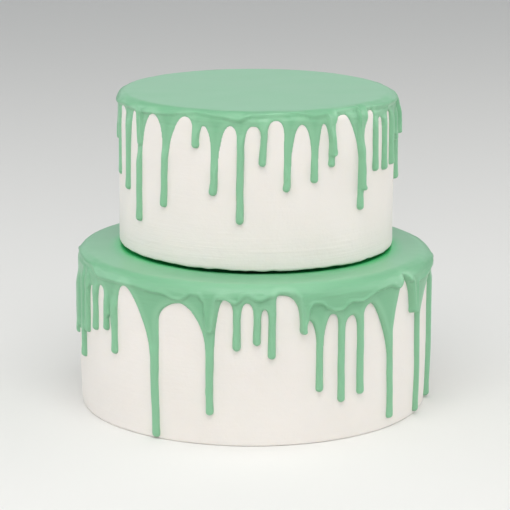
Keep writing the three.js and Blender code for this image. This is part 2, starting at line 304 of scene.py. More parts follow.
def first_edge(tier, rows):
    """Adds what each run needs later, and returns the edge as one line in millimetres."""
    turn = 2 * math.pi * tier.radius
    pairs = []
    for one, crest in rows:
        one.x = place_across(tier, one.angle)
        one.lean_x = place_across(tier, one.lean)
        crest.x = place_across(tier, crest.angle)
        pairs.append((one, crest))
    line = []
    for i, (one, crest) in enumerate(pairs):
        before = pairs[i - 1][1]
        left_foot = foot(before.top, before.right[0], one)
        right_foot = foot(crest.top, crest.left[0], one)
        one.spring = min(left_foot, right_foot)
        one.reach = one.reach or one.spring + PAST_SPRING
        neighbours = (pairs[i - 1][0].x - (turn if i == 0 else 0), pairs[(i + 1) % len(pairs)][0].x)
        spaces = (one.x - neighbours[0], (neighbours[1] - one.x) % turn)
        one.wide = [min(space / 2 + RIDGE_SPARE, RIDGE_SHARE * one.half) for space in spaces]
        half = one.half * TIP_SWELL
        tip_end = one.tip + half
        down = run_side(one, tip_end, one.spring, -1)
        bow = np.linspace(-math.pi / 2, math.pi / 2, BOW_POINTS)[1:-1]
        middle = centre_of(one, tip_end)
        tip = np.c_[middle + half * np.sin(bow), tip_end - half * np.cos(bow)]
        up = run_side(one, tip_end, one.spring, 1)[::-1]
        line += [down, tip, up]
        following, shift = (pairs[i + 1][0], 0) if i + 1 < len(pairs) else (pairs[0][0], turn)
        next_foot = foot(crest.top, crest.right[0], following)
        start = one.x + one.lean_x + one.half + one.taper
        end = following.x + following.lean_x - following.half - following.taper + shift
        line += arch_line(tier, start, crest, end, right_foot, next_foot)
    line = np.vstack(line)
    line = even_steps(np.vstack([line, line[:1] + (turn, 0)]))
    x, z = line[:-1].T
    line[:-1, 0] += EDGE_SWAY * np.sin(z / EDGE_WAVES[0] + x / EDGE_WAVES[1])
    line[-1] = line[0] + (turn, 0)
    return soften(line, turn, EDGE_SOFT)


lower_line = first_edge(LOWER, LOWER_EDGE)
upper_line = first_edge(UPPER, UPPER_EDGE)
print("edge of the lower glaze: %.1f m" % (len(lower_line) * STEP / 1000))
print("edge of the upper glaze: %.1f m" % (len(upper_line) * STEP / 1000))

# %% [markdown]
# ## The second pour
# The glaze was poured twice. The second layer stops near the rim in low waves, and a few of its
# runs go further, over or beside those of the first. It shows only as a thin step with a soft
# shadow under it. Its line is a row of high and low points joined by smooth waves, with its own
# runs let in.

# %% Waves and runs of the second pour
OVER_SWELL = 0.45


def length_at(tier, height):
    """How far up the outline a height on the face of the glaze is: the rim curves inwards."""
    rise = max(height - rim_start(tier), 0) / (tier.rim + tier.coat + tier.second)
    return min(height, rim_start(tier)) + tier.rim * math.asin(min(rise, 1))


def over_run(angle, tip, half, swell=OVER_SWELL):
    """A run of the second pour; the swell is how much thicker than the pour it is at its tip."""
    return run(angle, tip, half, 0, swell)


LOWER_WAVES = [(-87, 110.6), (-65, 110.2), (-58, 104.2), (-44, 104.7), (-40, 105.3), (-33, 103.7),
               (-29.5, 103.7), (-24.2, 100.7), (-22.4, 100.9), (-19.2, 105.5), (-17.2, 105.4),
               (-15.6, 101.5), (-10.5, 103.8), (-5, 100.9), (-2, 106.5), (2, 103), (6, 106.1),
               (12.7, 107.3), (17.4, 95.3),
               (18.8, 100.4), (20.6, 100.3), (23.4, 96.2), (25.2, 94), (28.2, 93.8), (31.6, 98.9),
               (35.2, 98.1), (43, 103.8), (47, 104.8), (52, 101.7), (54, 104.9), (57, 103.9), (66, 101),
               (78, 104), (87, 106.5)]
LOWER_SECOND = [over_run(-13.3, 79.8, 3.1), over_run(15.9, 79.1, 2.5), over_run(61.5, 79.4, 3.0)]
UPPER_WAVES = [(-87, 220.1), (-66, 222.1), (-48, 221.3), (-40, 222.9), (-24, 225.9), (-16, 224.6),
               (-7, 222.2), (-1, 226), (12, 226.4), (16, 226.8), (24, 224.4), (28, 224.9), (35, 226.5),
               (42, 226.6), (60, 224.8), (70, 223.9), (87, 222.9)]
UPPER_SECOND = [over_run(-54.6, 197.5, 2.4, 0.3), over_run(31.6, 196.5, 2.7), over_run(47.4, 169.2, 2.8),
                over_run(90, 197.5, 3.0, 0.4)]


# %% The edge of the second pour
BACK_WAVES = 19
WAVE_FIRST = 96
WAVE_PITCH = 9
WAVE_DEPTH = 2.4
WAVE_STEP = 0.4
OVER_BETWEEN = (100, 262)
OVER_SHIFT = 0.5
OVER_SHARE = 0.45
OVER_HALF = 2.6
OVER_GAP = 1.5
SECOND_SOFT = 0.8


def back_waves(level, seed):
    angles = [WAVE_FIRST + WAVE_PITCH * k for k in range(BACK_WAVES)]
    return [(angle, level + WAVE_DEPTH * (2 * spread(seed, k) - 1)) for k, angle in enumerate(angles)]


def back_runs(rows, level):
    """Runs of the second pour on the back: beside every third run of the first, and shorter."""
    beside = [one for one, _ in rows if OVER_BETWEEN[0] < one.angle < OVER_BETWEEN[1]][::3]
    return [over_run(one.angle + OVER_SHIFT, one.tip + OVER_SHARE * (level - one.tip), OVER_HALF)
            for one in beside]


def second_edge(tier, waves, runs, rows, level, seed):
    """The line of the second pour, and its runs with their places worked out."""
    turn = 2 * math.pi * tier.radius
    knots = waves + back_waves(level, seed) + [(waves[0][0] + 360, waves[0][1])]
    knots = np.array([(place_across(tier, a), length_at(tier, h)) for a, h in knots])
    own = sorted(runs + back_runs(rows, level), key=lambda one: one.angle)
    x = np.arange(knots[0, 0], knots[-1, 0], WAVE_STEP)
    nearest = np.clip(np.searchsorted(knots[:, 0], x) - 1, 0, len(knots) - 2)
    low, high = knots[nearest], knots[nearest + 1]
    z = low[:, 1] + (high[:, 1] - low[:, 1]) * smooth(0, 1, (x - low[:, 0]) / (high[:, 0] - low[:, 0]))
    line = []
    start = x[0]
    for one in own:
        one.x = place_across(tier, one.angle)
        keep = (x >= start) & (x < one.x - one.half - OVER_GAP)
        line.append(np.c_[x[keep], z[keep]])
        low_end = one.tip + one.half
        bow = np.linspace(-math.pi / 2, math.pi / 2, BOW_POINTS)
        line.append(np.c_[one.x + one.half * np.sin(bow), low_end - one.half * np.cos(bow)])
        start = one.x + one.half + OVER_GAP
    line.append(np.c_[x[x >= start], z[x >= start]])
    line = np.vstack(line)
    line = np.vstack([line, line[:1] + (turn, 0)])
    return soften(even_steps(line), turn, SECOND_SOFT), own


lower_second, lower_over = second_edge(LOWER, LOWER_WAVES, LOWER_SECOND, LOWER_EDGE, 102.5, 0.21)
upper_second, upper_over = second_edge(UPPER, UPPER_WAVES, UPPER_SECOND, UPPER_EDGE, 223.5, 0.63)
print("runs of the second pour:", len(lower_over) + len(upper_over))

# %% [markdown]
# ## Small helpers for edit mode
# Blender's operators act on whatever is selected, so each step first picks its faces or edges by
# where they are, to a tenth of a millimetre. These helpers start a piece, put its place into its
# mesh, pick, write marks and finish the mesh.

# %% Pick and place
DOUBLE = 0.004
NEAR = 0.1


def start_clean():
    if bpy.context.object and bpy.context.object.mode != "OBJECT":
        bpy.ops.object.mode_set(mode="OBJECT")
    bpy.ops.object.select_all(action="DESELECT")


def begin(name):
    """The primitive just added gets its name, its place goes into its mesh, and edit mode starts."""
    piece = bpy.context.object
    piece.name = name
    piece.data.name = name
    bpy.ops.object.transform_apply(location=True, rotation=True, scale=True)
    bpy.ops.object.mode_set(mode="EDIT")
    bpy.ops.mesh.select_all(action="DESELECT")
    return piece


def positions(piece):
    flat = np.empty(len(piece.data.vertices) * 3)
    piece.data.vertices.foreach_get("co", flat)
    return flat.reshape(-1, 3)


def pick(piece, kind, rule):
    """In edit mode, picks the edges or faces whose points all pass the rule."""
    bpy.ops.mesh.select_mode(type=kind)
    bpy.ops.mesh.select_all(action="DESELECT")
    bpy.ops.object.mode_set(mode="OBJECT")
    at = positions(piece) / MM
    items = piece.data.edges if kind == "EDGE" else piece.data.polygons
    items.foreach_set("select", [bool(rule(at[list(item.vertices)])) for item in items])
    bpy.ops.object.mode_set(mode="EDIT")


def mark(piece, name, values):
    """Writes one number for each point, for a material to read."""
    layer = piece.data.attributes.new(name, "FLOAT", "POINT")
    layer.data.foreach_set("value", np.asarray(values, float))


def finish_mesh(piece):
    """Doubles merged, faces turned outwards, and smooth shading."""
    bpy.ops.mesh.select_mode(type="VERT")
    bpy.ops.mesh.select_all(action="SELECT")
    bpy.ops.mesh.remove_doubles(threshold=DOUBLE * MM)
    bpy.ops.mesh.normals_make_consistent(inside=False)
    bpy.ops.mesh.select_all(action="DESELECT")
    bpy.ops.object.mode_set(mode="OBJECT")
    bpy.ops.object.select_all(action="DESELECT")
    piece.select_set(True)
    bpy.context.view_layer.objects.active = piece
    bpy.ops.object.shade_smooth()
    triangles = sum(len(face.vertices) - 2 for face in piece.data.polygons)
    print(piece.name, "has", triangles, "triangles")


# %% [markdown]
# ## The iced rounds
# Each round is a stack of sponge under a coat of buttercream, drawn smooth with a long spatula.
# From outside it is one solid: a drum with a rounded rim and a slightly rounded foot. A spun
# profile would do, but a cylinder with bevelled edges says the same in fewer steps. The side is
# then cut into many rows, so that a soft noise can move it by a fraction of a millimetre, as a
# hand-smoothed side wanders. The upper round gets a low set-in foot, which leaves the dark slot.

# %% Make the iced rounds
SIDES = 256
SIDE_ROWS = 51
TOP_INSET = 4
FOOT_INSET = 6
FOOT_DROP = 3


def iced_round(tier, foot_inset):
    start_clean()
    height = tier.top - tier.base
    bpy.ops.mesh.primitive_cylinder_add(vertices=SIDES, radius=tier.radius * MM, depth=height * MM,
                                        location=(tier.centre * MM, 0, (tier.base + height / 2) * MM))
    piece = begin(tier.name + "_icing")
    pick(piece, "EDGE", lambda at: at[:, 2].min() > tier.top - NEAR)
    bpy.ops.mesh.bevel(offset=tier.rim * MM, segments=6)
    pick(piece, "EDGE", lambda at: at[:, 2].max() < tier.base + NEAR)
    bpy.ops.mesh.bevel(offset=tier.heel * MM, segments=4)
    pick(piece, "EDGE", lambda at: abs(at[0, 2] - at[1, 2]) > height / 2)
    bpy.ops.mesh.subdivide(number_cuts=SIDE_ROWS - 1)
    if foot_inset:
        pick(piece, "FACE", lambda at: at[:, 2].max() < tier.base + NEAR)
        bpy.ops.mesh.inset(thickness=foot_inset * MM)
        bpy.ops.mesh.extrude_region_move(TRANSFORM_OT_translate={"value": (0, 0, -FOOT_DROP * MM)})
    pick(piece, "FACE", lambda at: len(at) > 8)
    bpy.ops.mesh.inset(thickness=TOP_INSET * MM)
    bpy.ops.mesh.poke()
    finish_mesh(piece)
    return piece


lower_icing = iced_round(LOWER, 0)
upper_icing = iced_round(UPPER, FOOT_INSET)

# %% Let the sides wander, then settle
WANDER = 0.8
WANDER_SIZE = 34
TILT = 0.011
NARROW = 0.0125
NARROW_FROM = 50
HEEL_FADE = (2, 7)
HEEL_WITHIN = 9.5
HEEL_STEPS = 0.6
HEEL_LIFT = 0.5


def unevenness(at, size, seed):
    """A soft noise between about -1 and 1 at each point, with bumps of that size."""
    return np.array([noise.noise(Vector(p) / size + Vector((seed, 0, 0))) for p in at])


def settle(tier, at):
    """The lower round is a little oval at its foot and its top slopes; the upper one slopes with it."""
    x, y, z = at.T
    if tier is UPPER:
        return np.c_[x, y, z - TILT * (x - tier.centre)]
    oval = NARROW * (1 - np.clip(z / NARROW_FROM, 0, 1)) ** 2
    return np.c_[x * (1 - oval), y * (1 + oval), z - TILT * x * np.clip(z / tier.top, 0, 1)]


def wander(piece, tier):
    at = positions(piece) / MM
    # Marks for painted shade: the underside of the upper round, and how far sideways each point is,
    # darkest in front.
    mark(piece, "painted_underside_shade", (at[:, 2] < tier.base + NEAR) * (tier is UPPER))
    mark(piece, "sideways", np.minimum(np.abs(at[:, 0] - tier.centre) / tier.radius, 1))
    cloud = bpy.data.textures.new(tier.name + "_wander", "CLOUDS")
    cloud.noise_scale = WANDER_SIZE * MM
    cloud.noise_depth = 2
    moved = piece.modifiers.new("wander", "DISPLACE")
    moved.texture = cloud
    moved.texture_coords = "LOCAL"
    moved.strength = WANDER * MM
    moved.mid_level = 0.5
    bpy.context.view_layer.objects.active = piece
    bpy.ops.object.modifier_apply(modifier=moved.name)
    bpy.data.textures.remove(cloud)
    at = positions(piece) / MM
    if tier is LOWER:
        at[:, 2] = np.maximum(at[:, 2], 0)
    else:
        above_base = at[:, 2] - tier.base
        near_side = np.hypot(at[:, 0], at[:, 1]) > tier.radius - HEEL_WITHIN
        edge = (1 - smooth(*HEEL_FADE, above_base)) * near_side
        sideways = ((at[:, 0] - tier.centre) / tier.radius) ** 2
        at[:, 2] += edge * (HEEL_STEPS * unevenness(at * (1, 1, 0), 7, 5.5) + HEEL_LIFT * sideways)
    piece.data.vertices.foreach_set("co", (settle(tier, at) * MM).ravel())
    piece.data.update()


wander(lower_icing, LOWER)
wander(upper_icing, UPPER)
print("sides wander by up to", WANDER / 2, "mm each way")

# %% [markdown]
# ## The glaze
# Poured glaze is a skin one to two millimetres thick with a round edge wherever it stops, and its
# runs are beads of half a circle. A sculpted or remeshed skin would lose that edge, and runs made
# one by one would show seams where they join the coat. So the skin starts as a fine sleeve that
# fits the icing: a tube, extruded over the rim and in to the middle, and cut into rows.
# Each point then asks how far it is from the edge line. Points on the wet side rise off the icing
# by a rounded profile of that distance, points just outside are drawn onto the line, and all
# other faces are deleted. That step is done in code, because no operator knows the distance. The
# open edge is last extruded into the icing and closed, so the skin is a solid.

# %% The sleeve
CELL = 0.62
RIM_ROWS = 12
ROWS_AT_ONCE = 12


def ring_step(tier, z_from, z_to, r_from, r_to):
    """Extrudes the picked ring to a new height and width."""
    bpy.ops.mesh.extrude_region_move(TRANSFORM_OT_translate={"value": (0, 0, (z_to - z_from) * MM)})
    share = r_to / r_from
    bpy.ops.transform.resize(value=(share, share, 1), center_override=(tier.centre * MM, 0, z_to * MM))


def sleeve(tier, low):
    start_clean()
    sides = 8 * round(2 * math.pi * tier.radius / CELL / 8)
    rim_z = rim_start(tier)
    bpy.ops.mesh.primitive_cylinder_add(vertices=sides, radius=tier.radius * MM, depth=(rim_z - low) * MM,
                                        end_fill_type="NOTHING",
                                        location=(tier.centre * MM, 0, (rim_z + low) / 2 * MM))
    piece = begin(tier.name + "_poured_glaze")
    pick(piece, "EDGE", lambda at: at[:, 2].min() > rim_z - NEAR)
    z, r = rim_z, tier.radius
    for k in range(1, RIM_ROWS + 1):
        turn = math.pi / 2 * k / RIM_ROWS
        new_z = rim_z + tier.rim * math.sin(turn)
        new_r = tier.radius - tier.rim + tier.rim * math.cos(turn)
        ring_step(tier, z, new_z, r, new_r)
        z, r = new_z, new_r
    for inwards in tier.rings:
        new_r = tier.radius - tier.rim - inwards
        ring_step(tier, z, z, r, new_r)
        r = new_r
    bpy.ops.mesh.extrude_region_move()
    bpy.ops.mesh.merge(type="CENTER")
    bands = round((rim_z - low) / CELL / ROWS_AT_ONCE)
    for rows in (bands, ROWS_AT_ONCE):
        pick(piece, "EDGE",
             lambda at: at[:, 2].max() < rim_z + NEAR and abs(at[0, 2] - at[1, 2]) > CELL / 2)
        bpy.ops.mesh.subdivide(number_cuts=rows - 1)
    bpy.ops.object.mode_set(mode="OBJECT")
    print(piece.name, "starts with", len(piece.data.vertices), "points,", sides, "round")
    return piece


# %% [markdown]
# The outline of the icing is measured as one length: up the side, over the rim, then in across
# the top. Every point of the sleeve has such a length and an angle. From these two, and a
# thickness, its place on the cake follows.

# %% Between the flat picture and the cake
ALMOST = 0.999


def lengths(tier, at):
    """Angle in radians and outline length of each point of a sleeve, in millimetres."""
    x = at[:, 0] - tier.centre
    r = np.hypot(x, at[:, 1])
    angle = np.arctan2(x, -at[:, 1])
    rise = np.clip((at[:, 2] - rim_start(tier)) / tier.rim, 0, 1)
    on_top = np.maximum(tier.radius - tier.rim - r, 0) * (rise > ALMOST)
    length = np.minimum(at[:, 2], rim_start(tier)) + tier.rim * np.arcsin(rise) + on_top
    return angle, length


def on_cake(tier, angle, length, thick):
    """The place on the cake of each angle and length, raised off the icing by the thickness."""
    past_side = length > rim_start(tier)
    turn = np.clip((length - rim_start(tier)) / tier.rim, 0, math.pi / 2)
    on_top = np.maximum(length - rim_start(tier) - tier.rim * math.pi / 2, 0)
    reach = np.where(past_side, tier.rim + thick, 0)
    side = np.where(past_side, tier.radius - tier.rim, tier.radius + thick)
    r = side + reach * np.cos(turn) - on_top
    z = np.minimum(length, rim_start(tier)) + reach * np.sin(turn)
    return np.c_[tier.centre + r * np.sin(angle), -r * np.cos(angle), z]


# %% [markdown]
# A search tree over the points of the line finds the nearest one, which gives the distance. On
# which side of the line a point lies follows from how often the line crosses above it: an even
# count means that it is on the wet side, because the sleeve's top is all wet.

# %% How far each point is from a line
MARGIN = 30
REACH = 12.0


def with_ends(line, turn):
    """The closed line, continued a little past both ends."""
    head = line[line[:, 0] > line[-1, 0] - MARGIN][:-1] - (turn, 0)
    tail = line[line[:, 0] < line[0, 0] + MARGIN][1:] + (turn, 0)
    return np.vstack([head, line, tail])


def above(line, x, z):
    """True for each point that is on the upper side of the line, by counting crossings."""
    columns, which = np.unique(np.round(x, 3), return_inverse=True)
    heights = [[] for _ in columns]
    x1, z1 = line[:-1].T
    x2, z2 = line[1:].T
    first = np.searchsorted(columns, np.minimum(x1, x2))
    last = np.searchsorted(columns, np.maximum(x1, x2))
    for i in np.nonzero(last > first)[0]:
        for c in range(first[i], last[i]):
            heights[c].append(z1[i] + (columns[c] - x1[i]) / (x2[i] - x1[i]) * (z2[i] - z1[i]))
    heights = [np.sort(h) for h in heights]
    count = np.array([len(heights[c]) - np.searchsorted(heights[c], h) for c, h in zip(which, z)])
    return count % 2 == 0


def distance_to(line, turn, x, z):
    """Signed distance of each point to the line, and the nearest place on it."""
    longer = with_ends(line, turn)
    tree = kdtree.KDTree(len(longer))
    for i, (a, b) in enumerate(longer):
        tree.insert((a, b, 0), i)
    tree.balance()
    far = z > line[:, 1].max() + REACH
    distance = np.full(len(x), REACH)
    nearest = np.c_[x, z]
    for i in np.nonzero(~far)[0]:
        spot, _, gap = tree.find((x[i], z[i], 0))
        distance[i] = gap
        nearest[i] = spot[:2]
    wet = np.ones(len(x), bool)
    wet[~far] = above(longer, x[~far], z[~far])
    return np.where(wet, distance, -distance), nearest


# %% [markdown]
# The thickness is the heart of the glaze. The coat is almost even, a little thicker to the right.
# At a run it changes to a bead, thicker at the tip, where the glaze gathered before it set. Going up
# from where the run starts, the bead fades into the coat. The second pour adds its own layer, with
# a lip along its edge.

# %% The thickness
ROUNDING = 2.4
TIP_THICK = 1.15
TIP_FADE = (2, 12)
RIDGE_FADE = 16
CREASE = 0.6
CREASE_WIDTH = 2.6
CREASE_FADE = 14
SECOND_ROUNDING = 1.1
SECOND_DRIFT = 0.55
SECOND_LEVEL = 25
OVER_FADE = (10, 26)
OVER_REACH = 1.9
LIP = 0.8
LIP_FROM = 1.4
LIP_WIDTH = 1.2
EDGE_FADE = 1.2


def dome(share):
    return np.sqrt(1 - np.clip(share, 0, 1) ** 2)


def rounded(distance, width):
    return dome(1 - distance / width)


def greater(a, b, blend=0.5):
    """The greater of two heights, with the corner between them filled in."""
    near = np.maximum(blend - np.abs(a - b), 0) / blend
    return np.maximum(a, b) + near * near * blend / 4


def across_from(tier, x, middle):
    turn = 2 * math.pi * tier.radius
    return (x - middle + turn / 2) % turn - turn / 2


def ridge(one, across, z, first):
    """Height of one run: a bead below its spring, then a ridge that fades above its reach."""
    at_tip = 1 - smooth(*TIP_FADE, z - one.tip)
    wide = np.where(across < 0, one.wide[0], one.wide[1])
    profile = np.minimum(dome(np.abs(across) / wide), rounded(first, half_of(one, z)))
    below = 1 - smooth(0, RIDGE_FADE, z - one.reach)
    return one.bead * (1 + (TIP_THICK - 1) * at_tip) * profile * below


def first_pour(tier, rows, x, z, first):
    over_rim = smooth(0, tier.rim * math.pi / 2, z - rim_start(tier))
    layer = tier.coat + tier.drift * np.sin(x / tier.radius) * (1 - over_rim)
    for _, crest in rows:
        across = np.abs(across_from(tier, x, crest.x))
        below = 1 - smooth(-CREASE_FADE, 0, z - crest.crease)
        depth = CREASE * (1 - smooth(0, CREASE_WIDTH, across)) * below
        layer = layer * (1 - depth * (crest.crease > 0))
    layer = layer * rounded(first, ROUNDING)
    for one, _ in rows:
        across = across_from(tier, x, centre_of(one, z))
        near = (np.abs(across) < max(one.wide)) & (z < one.reach + RIDGE_FADE)
        layer[near] = greater(layer[near], ridge(one, across[near], z[near], first[near]))
    return layer


def second_pour(tier, over, x, z, second):
    inwards = z - rim_start(tier) - tier.rim * math.pi / 2
    drift = SECOND_DRIFT * np.sin(x / tier.radius) * (1 - smooth(0, SECOND_LEVEL, inwards))
    layer = tier.second * (1 + drift)
    for one in over:
        across = np.abs(across_from(tier, x, one.x))
        beside = 1 - smooth(one.half, OVER_REACH * one.half, across)
        layer += one.bead * beside * (1 - smooth(*OVER_FADE, z - one.tip))
    lip = LIP * np.exp(-((second - LIP_FROM) / LIP_WIDTH) ** 2)
    return (layer * rounded(second, SECOND_ROUNDING) + lip) * (second > 0)


def thickness(tier, rows, over, x, z, first, second):
    upper_layer = second_pour(tier, over, x, z, second) * smooth(0, EDGE_FADE, first)
    return first_pour(tier, rows, x, z, first) + upper_layer


# %% [markdown]
# The upper round pressed into the glaze under it, which stands a little higher in a ring there,
# most of all at the left and right. Three marks go with the points, for the glaze's material. The
# first is where the glaze is near its edge and in the runs: it is thinnest there, and the mark also
# carries a painted sheen that brightens the runs. The second is where the glaze crept in level
# ripples as it rolled over the rim. The third is painted shade: a saturated green ring round the
# foot of the upper round, broader at the left and right, for the shadow the upper round casts there.

# %% Under the upper round, and marks for the material
PRESSED_RISE = 0.9
SIDE_RISE = 0.6
RING_INSIDE = (-5.5, -2.5)
RING_OUTSIDE = (0.5, 7.5)
# The next three set where the painted shade round the upper round's foot starts and how far it reaches,
# further at the sides.
FOOT_SHADE_FROM = -4
FOOT_SHADE_REACH = 5.5
SIDE_REACH = 7
# How far in from the edge the paler colour reaches: the thinnest glaze, and a painted sheen.
THIN_SHEEN_FADE = (2.6, 7)
ROLLED = (-16, -4)
ROLLED_FADE = (4, 12)


def pressed_rise(past_side, sideways):
    ring = smooth(*RING_INSIDE, past_side) * (1 - smooth(*RING_OUTSIDE, past_side))
    return ring * (PRESSED_RISE + SIDE_RISE * sideways)


def mark_glaze(piece, tier, past_side, sideways, length, first):
    past_rim = length - rim_start(tier)
    # Partly the thinnest glaze near the edge, partly a painted sheen on the runs.
    mark(piece, "thin_and_sheen", 1 - smooth(*THIN_SHEEN_FADE, first))
    mark(piece, "rolled", smooth(*ROLLED, past_rim) * (1 - smooth(*ROLLED_FADE, past_rim)))
    # Painted shade round the foot of the upper round, broader at the sides.
    past_foot = smooth(0, FOOT_SHADE_REACH + SIDE_REACH * sideways, past_side - FOOT_SHADE_FROM)
    mark(piece, "painted_foot_shade", (1 - past_foot) * (tier is LOWER))


# %% [markdown]
# The last step puts all of this together, once for each round. A point counts as wet only from
# about a third of a cell past the line, so that no sliver of a face is left along the edge. A slow
# noise keeps the coat from being perfectly even.

# %% Shape the sleeve into glaze
WET_FROM = 0.3
DRY_DEPTH = 0.3
SLOW = (26, 3.1, 0.35)
FINE = (9, 8.4, 0.12)
FINE_FADE = (12, 20)
NOISE_FADE = (1.5, 7)


def coat_noise(tier, at, length, first):
    """Low waves of the coat, and smaller ones near the rim. They die away towards the edge."""
    slow = SLOW[2] * unevenness(at, *SLOW[:2])
    fine = FINE[2] * unevenness(at, *FINE[:2]) * (1 - smooth(*FINE_FADE, length - rim_start(tier)))
    return (slow + fine) * smooth(*NOISE_FADE, first)


def delete_dry(piece, wet):
    dry = [not any(wet[v] for v in face.vertices) for face in piece.data.polygons]
    bpy.ops.object.mode_set(mode="EDIT")
    bpy.ops.mesh.select_mode(type="FACE")
    bpy.ops.mesh.select_all(action="DESELECT")
    bpy.ops.object.mode_set(mode="OBJECT")
    piece.data.polygons.foreach_set("select", dry)
    bpy.ops.object.mode_set(mode="EDIT")
    bpy.ops.mesh.delete(type="FACE")


def pour(tier, rows, line, second_line, over):
    low = min(one.tip for one, _ in rows) - 2 * CELL
    piece = sleeve(tier, low)
    at = positions(piece) / MM
    angle, length = lengths(tier, at)
    turn = 2 * math.pi * tier.radius
    x = (angle * tier.radius - line[0, 0]) % turn + line[0, 0]
    first, nearest = distance_to(line, turn, x, length)
    x_second = (x - second_line[0, 0]) % turn + second_line[0, 0]
    second, _ = distance_to(second_line, turn, x_second, length)
    wet = first > WET_FROM * CELL
    from_axis = np.hypot(at[:, 0] - UPPER.centre, at[:, 1])
    sideways = ((at[:, 0] - UPPER.centre) / np.maximum(from_axis, 1)) ** 2
    mark_glaze(piece, tier, from_axis - UPPER.radius, sideways, length, first)
    thick = thickness(tier, rows, over, x, length, np.maximum(first, 0), np.maximum(second, 0))
    thick = np.where(wet, thick + coat_noise(tier, at, length, first), -DRY_DEPTH)
    thick += pressed_rise(from_axis - UPPER.radius, sideways) * (tier is LOWER)
    x = np.where(wet, x, nearest[:, 0])
    length = np.where(wet, length, nearest[:, 1])
    at = settle(tier, on_cake(tier, x / tier.radius, length, thick)) * MM
    piece.data.vertices.foreach_set("co", at.ravel())
    delete_dry(piece, wet)
    close_under(tier, piece)
    return piece


# %% Close the skin
UNDER_DEPTH = 1
CEILING_DROP = 2.5


def close_under(tier, piece):
    """Merges the doubles, then extrudes the open edge into the icing, up inside it and to a pole."""
    bpy.ops.mesh.select_mode(type="VERT")
    bpy.ops.mesh.select_all(action="SELECT")
    bpy.ops.mesh.remove_doubles(threshold=DOUBLE * MM)
    bpy.ops.mesh.select_all(action="DESELECT")
    bpy.ops.mesh.select_mode(type="EDGE")
    bpy.ops.mesh.select_non_manifold(extend=False, use_wire=False, use_boundary=True, use_multi_face=False,
                                     use_non_contiguous=False, use_verts=False)
    edge_radius = tier.radius - DRY_DEPTH
    inner = (edge_radius - UNDER_DEPTH) / edge_radius
    middle = (tier.centre * MM, 0, (tier.top - CEILING_DROP) * MM)
    bpy.ops.mesh.extrude_region_move()
    bpy.ops.transform.resize(value=(inner, inner, 1), center_override=middle)
    bpy.ops.mesh.extrude_region_move()
    bpy.ops.transform.resize(value=(1, 1, 0), center_override=middle)
    bpy.ops.mesh.extrude_region_move()
    bpy.ops.mesh.merge(type="CENTER")
    finish_mesh(piece)


lower_glaze = pour(LOWER, LOWER_EDGE, lower_line, lower_second, lower_over)
upper_glaze = pour(UPPER, UPPER_EDGE, upper_line, upper_second, upper_over)

# %% [markdown]
# ## Finishes
# A material is a few nodes, so one small function adds a node with its settings and links, and
# one turns the colour code that a picture editor shows into the linear values that light uses.
# Both finishes are built alike: a colour mixed by marks and noise, and bumps one over the other.

# %% Colour and node helpers
def linear(code):
    parts = [int(code[i:i + 2], 16) / 255 for i in (1, 3, 5)]
    return tuple(p / 12.92 if p <= 0.04045 else ((p + 0.055) / 1.055) ** 2.4 for p in parts) + (1.0,)


def add_node(material, kind, links=None, **settings):
    """Adds a node. Settings are its own values, or inputs by name with _ for a space."""
    node = material.node_tree.nodes.new(kind)
    for name, value in settings.items():
        label = name.replace("_", " ")
        if label in node.inputs:
            node.inputs[label].default_value = value
        else:
            setattr(node, name, value)
    for label, socket in (links or {}).items():
        material.node_tree.links.new(socket, node.inputs[label])
    return node


def new_material(name):
    material = bpy.data.materials.new(name)
    material.use_nodes = True
    material.node_tree.nodes.clear()
    return material


def feed(material, socket, value):
    """Sets a socket to a colour, or links it to the output of another node."""
    if isinstance(value, tuple):
        socket.default_value = value
    else:
        material.node_tree.links.new(value, socket)


# %% Helpers for what the finishes share
def marked(material, name):
    return add_node(material, "ShaderNodeAttribute", attribute_name=name).outputs["Fac"]


def soft_noise(material, place, scale, detail, roughness=0.5):
    return add_node(material, "ShaderNodeTexNoise", {"Vector": place}, Scale=scale, Detail=detail,
                    Roughness=roughness).outputs["Fac"]


def stretched(material, place, scale):
    return add_node(material, "ShaderNodeMapping", {"Vector": place}, Scale=scale).outputs["Vector"]


def ramp(material, value, first, last, low=0.0, high=1.0):
    """From first to last, while the value goes from low to high."""
    return add_node(material, "ShaderNodeMapRange", {"Value": value}, From_Min=low, From_Max=high,
                    To_Min=first, To_Max=last).outputs["Result"]


def mix_colour(material, share, first, second):
    node = add_node(material, "ShaderNodeMix", data_type="RGBA")
    feed(material, node.inputs[0], share)
    feed(material, node.inputs[6], first)
    feed(material, node.inputs[7], second)
    return node.outputs[2]


def scaled(material, first, second):
    """The product of two outputs."""
    node = add_node(material, "ShaderNodeMath", operation="MULTIPLY")
    feed(material, node.inputs[0], first)
    feed(material, node.inputs[1], second)
    return node.outputs["Value"]


def bumps(material, steps):
    """Bumps one over the other: the height, the strength and the depth in millimetres of each."""
    normal = None
    for height, strength, depth in steps:
        links = {"Height": height} if normal is None else {"Height": height, "Normal": normal}
        normal = add_node(material, "ShaderNodeBump", links, Strength=strength,
                          Distance=depth * MM).outputs["Normal"]
    return normal


# %% [markdown]
# ### Smoothed buttercream
# Buttercream is butter and sugar beaten white. It is nearly matt, a little light passes through
# its surface, and its white is barely warm. Drawing a spatula round the cake leaves fine level
# lines, a few shallow dents, and small pits where air was caught. The lines are a noise that
# changes fast with height and slowly across, a few millimetres apart. They are deepest near the
# foot of the upper round, where the blade pressed. All of it acts through bump alone. The underside
# of the upper round carries painted shade: dark green, darkest in front and greener to the sides,
# so the slot over the ledge stays dark. Marks on its points say where that is.

# %% The buttercream material
FOOT_HEIGHTS = (0.112, 0.119)
MIDDLE_HEIGHTS = (0.132, 0.15)
LIGHTLY = 0.3


